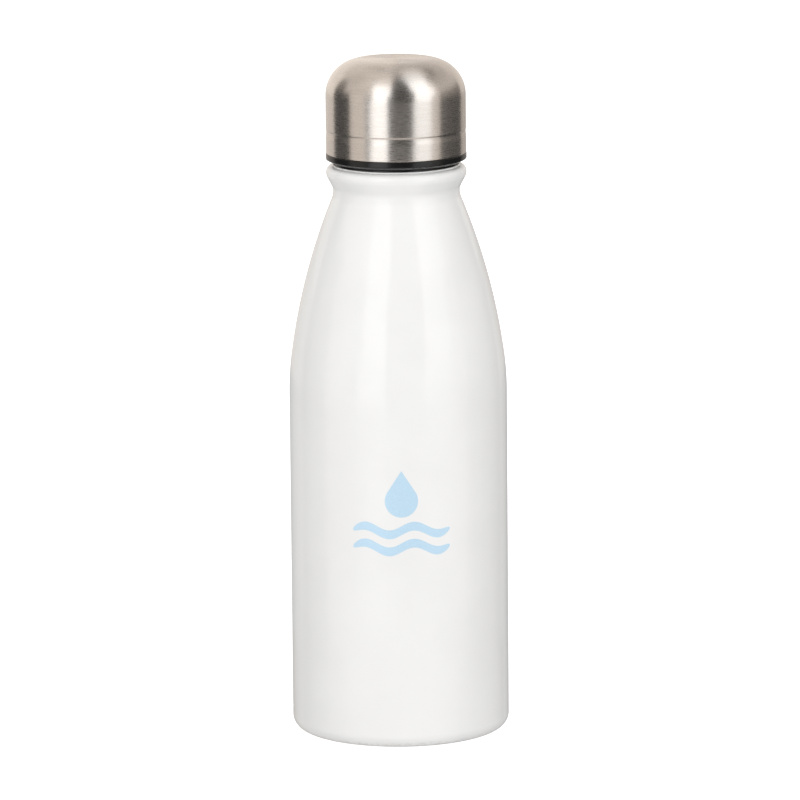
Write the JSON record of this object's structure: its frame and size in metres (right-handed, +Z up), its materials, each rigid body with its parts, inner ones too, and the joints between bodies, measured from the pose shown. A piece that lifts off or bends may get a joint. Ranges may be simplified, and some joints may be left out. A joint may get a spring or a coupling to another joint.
{
  "type": "water bottle",
  "caption": "Single-walled metal drinking bottle with a straight body, a long curved shoulder, a beaded threaded neck and a brushed steel screw cap.",
  "frame": {"origin": "centre of the base, in the plane that the bottle stands on", "axes": "+Z up along the bottle's axis, from the base to the cap; X and Y lie in the plane it stands on"},
  "size_m": [0.066, 0.066, 0.2056],
  "materials": {
    "lacquered_aluminium": "gloss",
    "brushed_steel": "satin",
    "black_plastic": "gloss",
    "silicone": "matte",
    "print_ink": "satin"
  },
  "bodies": {
    "bottle": {"bottle_body": "lacquered_aluminium"},
    "seal": {"cap_gasket": "silicone"},
    "cap": {"cap_shell": "brushed_steel", "cap_insert": "black_plastic"}
  },
  "joints": [
    {"name": "cap_rise", "type": "slide", "parent": "bottle", "child": "seal", "axis": [0, 0, 1], "range_m": [0, 0.014]},
    {"name": "cap_turn", "type": "hinge", "parent": "seal", "child": "cap", "pos_m": [0, 0, 0.18], "axis": [0, 0, 1], "range_deg": [0, 1260]}
  ],
  "couplings": [
    {"joint": "cap_rise", "follows": "cap_turn", "m_per_rad": 0.00063662}
  ]
}
